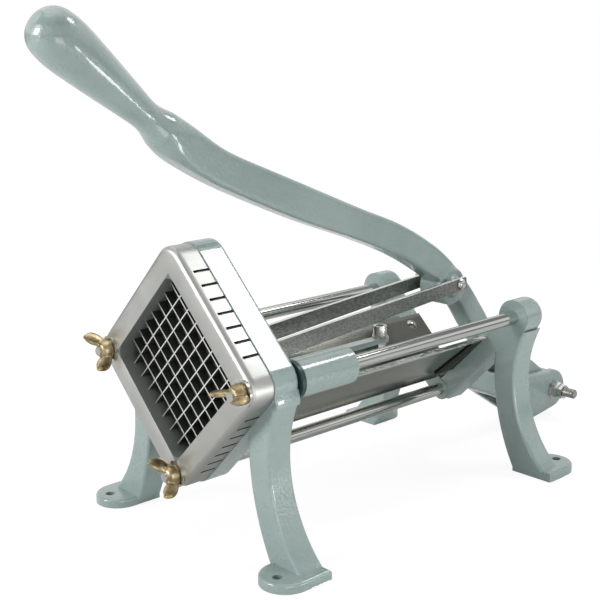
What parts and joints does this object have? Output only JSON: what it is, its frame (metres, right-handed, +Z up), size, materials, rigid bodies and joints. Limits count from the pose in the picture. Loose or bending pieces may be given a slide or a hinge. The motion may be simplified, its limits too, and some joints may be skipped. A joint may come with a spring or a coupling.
{
  "type": "french fry cutter",
  "caption": "Bench-top lever potato cutter: cast frame on splayed feet, diamond blade grid, sliding pusher, linked hand lever and brass wing nuts.",
  "frame": {"origin": "middle of the four foot bolt holes, on the table", "axes": "+Z up, -Y towards the blade grid and the operator's bowl, +X to the machine's right as seen from the grid"},
  "size_m": [0.22, 0.5049, 0.3529],
  "materials": {
    "enamel": "gloss",
    "brushed_cover": "satin",
    "blade_steel": "satin",
    "chrome_rod": "polished",
    "polished_sheet": "polished",
    "link_steel": "satin",
    "zinc": "satin",
    "brass": "satin",
    "dark_rubber": "satin"
  },
  "bodies": {
    "base": {"front_frame": "enamel", "rear_frame": "enamel", "blade_cover": "brushed_cover", "blades_rising": "blade_steel", "blades_falling": "blade_steel", "rod_left": "chrome_rod", "rod_right": "chrome_rod", "rod_bottom": "chrome_rod", "wing_nut_washers": "zinc", "rear_rod_washers": "zinc", "rear_rod_nuts": "zinc", "trough": "polished_sheet", "trough_screws": "zinc", "pivot_bolt": "zinc", "pivot_nut": "zinc", "pivot_lock_nut": "zinc", "pivot_washers": "zinc"},
    "pusher": {"pusher_head": "enamel", "pusher_head_screws": "zinc", "pusher_carriage": "enamel", "bumper_rings": "dark_rubber", "carriage_arm_bolts": "zinc", "carriage_arm_nuts": "zinc"},
    "lever": {"handle": "enamel", "link_rear_bolt": "zinc", "link_rear_nut": "zinc"},
    "links": {"link_left": "link_steel", "link_right": "link_steel", "link_front_pins": "zinc"},
    "nut_left": {"wing_nut_left": "brass"},
    "nut_right": {"wing_nut_right": "brass"},
    "nut_bottom": {"wing_nut_bottom": "brass"}
  },
  "joints": [
    {"name": "handle_hinge", "type": "hinge", "parent": "base", "child": "lever", "pos_m": [0, 0.246, 0.024], "axis": [-1, 0, 0], "range_deg": [0, 53.68]},
    {"name": "pusher_slide", "type": "slide", "parent": "base", "child": "pusher", "axis": [0, 1, 0], "range_m": [0, 0.158]},
    {"name": "link_hinge", "type": "hinge", "parent": "lever", "child": "links", "pos_m": [0, 0.117, 0.139], "axis": [1, 0, 0], "range_deg": [0, 69.63]},
    {"name": "wing_nut_left_turn", "type": "hinge", "parent": "base", "child": "nut_left", "pos_m": [-0.072, -0.153, 0.122], "axis": [0, 1, 0], "continuous": true},
    {"name": "wing_nut_right_turn", "type": "hinge", "parent": "base", "child": "nut_right", "pos_m": [0.072, -0.153, 0.122], "axis": [0, 1, 0], "continuous": true},
    {"name": "wing_nut_bottom_turn", "type": "hinge", "parent": "base", "child": "nut_bottom", "pos_m": [0, -0.153, 0.05], "axis": [0, 1, 0], "continuous": true}
  ],
  "couplings": [
    {"joint": "pusher_slide", "follows": "handle_hinge", "m_per_rad": 0.16865},
    {"joint": "link_hinge", "follows": "handle_hinge", "ratio": 1.2971}
  ]
}
